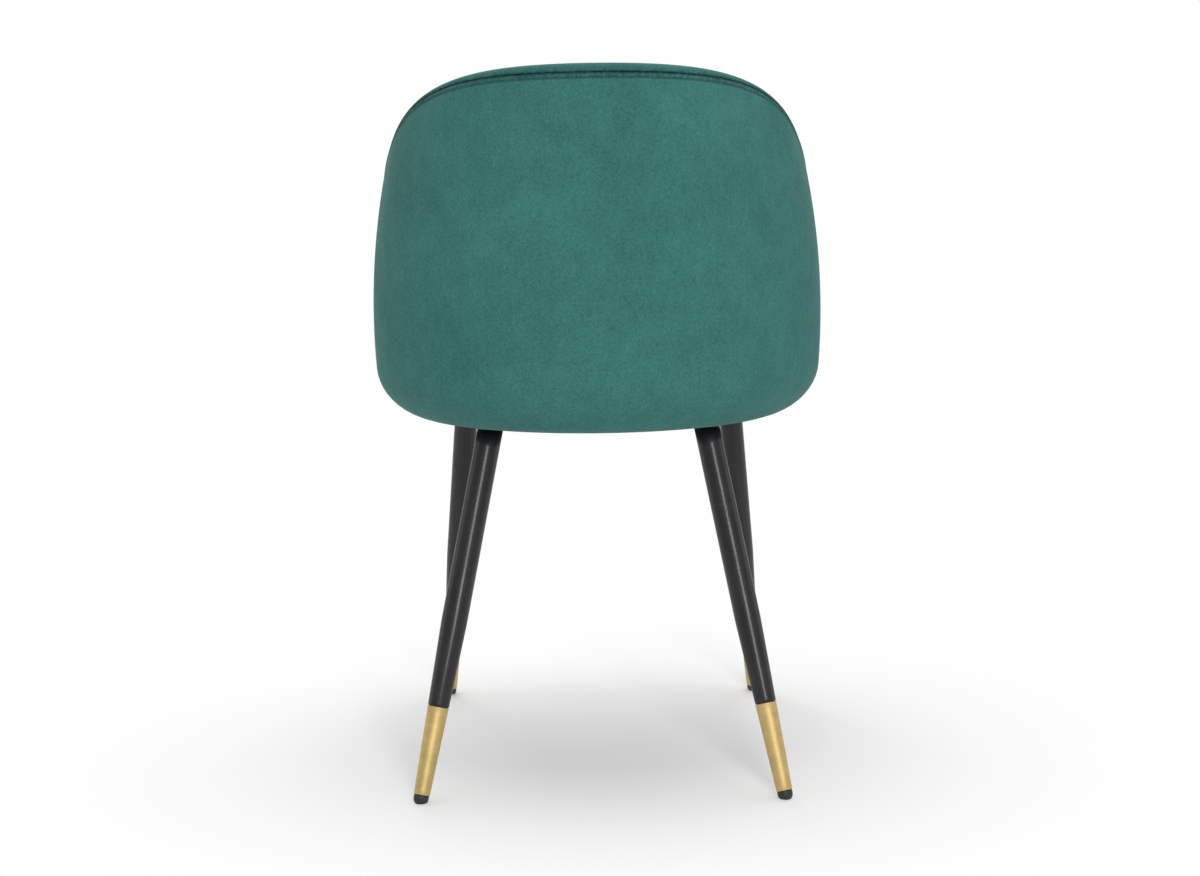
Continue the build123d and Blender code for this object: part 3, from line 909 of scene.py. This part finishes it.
def ferrule_rings(leg):
    """The ferrule: an open foot with a bevelled edge, the wall, and a slightly raised top edge."""
    low_r, top_r = leg_radius(FERRULE_BOTTOM), leg_radius(FERRULE_TOP)
    inner_r = low_r - FERRULE_WALL
    foot = [
        (inner_r, FERRULE_BOTTOM + 0.004),
        (inner_r, FERRULE_BOTTOM + BEVEL),
        (inner_r + 0.0003, FERRULE_BOTTOM),
        (low_r - 0.0003, FERRULE_BOTTOM),
        (low_r, FERRULE_BOTTOM + BEVEL),
    ]
    wall_heights = np.linspace(FERRULE_BOTTOM + 0.006, FERRULE_TOP - 0.0016, 14)
    wall = [(leg_radius(height), height) for height in wall_heights]
    top = [
        (top_r + 0.0002, FERRULE_TOP - 0.0010),
        (top_r + 0.00025, FERRULE_TOP - BEVEL),
        (top_r, FERRULE_TOP),
        (top_r - 0.0005, FERRULE_TOP + 0.0002),
        (top_r - 0.0016, FERRULE_TOP - 0.0002),
    ]
    return turned(foot + wall + top, leg)


def glide_rings(leg):
    """The glide: a dome, cut level by the floor, and a short plug up into the ferrule."""
    dome = [
        (GLIDE_R * np.sin(t), GLIDE_DOME - GLIDE_R * np.cos(t))
        for t in np.linspace(0.02, np.pi / 2, 16)
    ]
    plug = [
        (GLIDE_R, GLIDE_DOME + 0.0015),
        (GLIDE_R - 0.0001, FERRULE_BOTTOM - BEVEL),
        (GLIDE_R - 0.0006, FERRULE_BOTTOM),
        (0.0070, FERRULE_BOTTOM + 0.001),
    ]
    rings = turned(dome + plug, leg, 48)
    rings[..., 2] = np.maximum(rings[..., 2], 0.0)
    return rings


for end in LEGS:
    for side in SIDES:
        leg = leg_frame(end, side)

        tube = tube_piece(f"leg_tube_{end}_{side}", tube_rings(leg), black_coat)
        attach(tube, "root")
        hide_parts(f"leg_{end}_{side}")

        ferrule = tube_piece(f"ferrule_sleeve_{end}_{side}", ferrule_rings(leg), brass)
        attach(ferrule, "root")
        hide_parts(f"ferrule_{end}_{side}")

        glide = tube_piece(f"glide_dome_{end}_{side}", glide_rings(leg), rubber)
        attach(glide, "root")
        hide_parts(f"glide_{end}_{side}")

# ---------------------------------------------------------------- finishes of the CAD parts

FINISHES = {
    "tub_shell": moulded_plastic("moulded_plastic"),
    "seat_board": plywood("birch_plywood"),
    "dust_cover": felted_cloth("felted_cloth"),
    "dust_cover_staples": zinc,
    "leg_bolts": zinc,
    "leg_washers": zinc,
    "tee_nuts": zinc,
    "board_screws": zinc,
}
for node_name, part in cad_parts.items():
    finish = black_coat if node_name.startswith("leg_plate") else FINISHES.get(node_name)
    if finish is not None:
        part.data.materials.clear()
        part.data.materials.append(finish)

# ---------------------------------------------------------------- floor, light and camera

FLOOR_HALF = 12.0
FLOOR_Z = -0.0004  # just under the feet
ROOM_LIGHT = 0.55  # how brightly the white room lights things
ROOM_SEEN = 1.02  # how bright the room is to the camera
corners = np.array([[-1, -1], [1, -1], [1, 1], [-1, 1]]) * FLOOR_HALF
floor_points = np.concatenate([corners, np.full((4, 1), FLOOR_Z)], 1)
floor = mesh_object("floor", floor_points, [[0, 1, 2, 3]], pale_floor("pale_floor"))

world = bpy.data.worlds.new("white_room")
bpy.context.scene.world = world
world.use_nodes = True
sky = world.node_tree.nodes["Background"]
sky.inputs["Color"].default_value = (1, 1, 1, 1)
rays = world.node_tree.nodes.new("ShaderNodeLightPath")
seen = world.node_tree.nodes.new("ShaderNodeMapRange")
seen.inputs["To Min"].default_value = ROOM_LIGHT
seen.inputs["To Max"].default_value = ROOM_SEEN
world.node_tree.links.new(rays.outputs["Is Camera Ray"], seen.inputs["Value"])
world.node_tree.links.new(seen.outputs[0], sky.inputs["Strength"])


def softbox(name, place, target, width, height, power):
    """A rectangular lamp at place, facing target."""
    light = bpy.data.lights.new(name, "AREA")
    light.shape = "RECTANGLE"
    light.size = width
    light.size_y = height
    light.energy = power
    lamp = bpy.data.objects.new(name, light)
    lamp.location = place
    lamp.rotation_euler = (Vector(target) - Vector(place)).to_track_quat("-Z", "Y").to_euler()
    bpy.context.scene.collection.objects.link(lamp)


softbox("overhead", (0.0, -0.7, 2.6), (0, 0.05, 0.3), 2.4, 2.0, 30)
softbox("rear_key", (-0.6, 3.2, 1.5), (0, 0.1, 0.5), 1.0, 1.3, 52)
softbox("left_edge", (2.2, -0.2, 0.9), (0, 0, 0.5), 0.7, 1.8, 4)
softbox("right_edge", (-2.2, -0.2, 0.9), (0, 0, 0.5), 0.7, 1.8, 4)
softbox("seat_fill", (0.9, -2.6, 1.7), (0, 0, 0.5), 1.6, 1.6, 14)

CAMERA_Y, CAMERA_Z = 2.01908, 0.65145
CAMERA_TILT = np.radians(7.635)
CAMERA_ROLL = 0.0125
camera_data = bpy.data.cameras.new("camera")
camera_data.sensor_width = 36.0
camera_data.lens = 50.775
camera_data.shift_x = 0.0011
camera = bpy.data.objects.new("camera", camera_data)
turn = Matrix.Rotation(np.pi, 4, "Z") @ Matrix.Rotation(np.pi / 2 - CAMERA_TILT, 4, "X")
camera.matrix_world = (
    Matrix.Translation((0, CAMERA_Y, CAMERA_Z)) @ turn @ Matrix.Rotation(-CAMERA_ROLL, 4, "Z")
)
bpy.context.scene.collection.objects.link(camera)
bpy.context.scene.camera = camera
bpy.context.scene.view_settings.view_transform = "Standard"
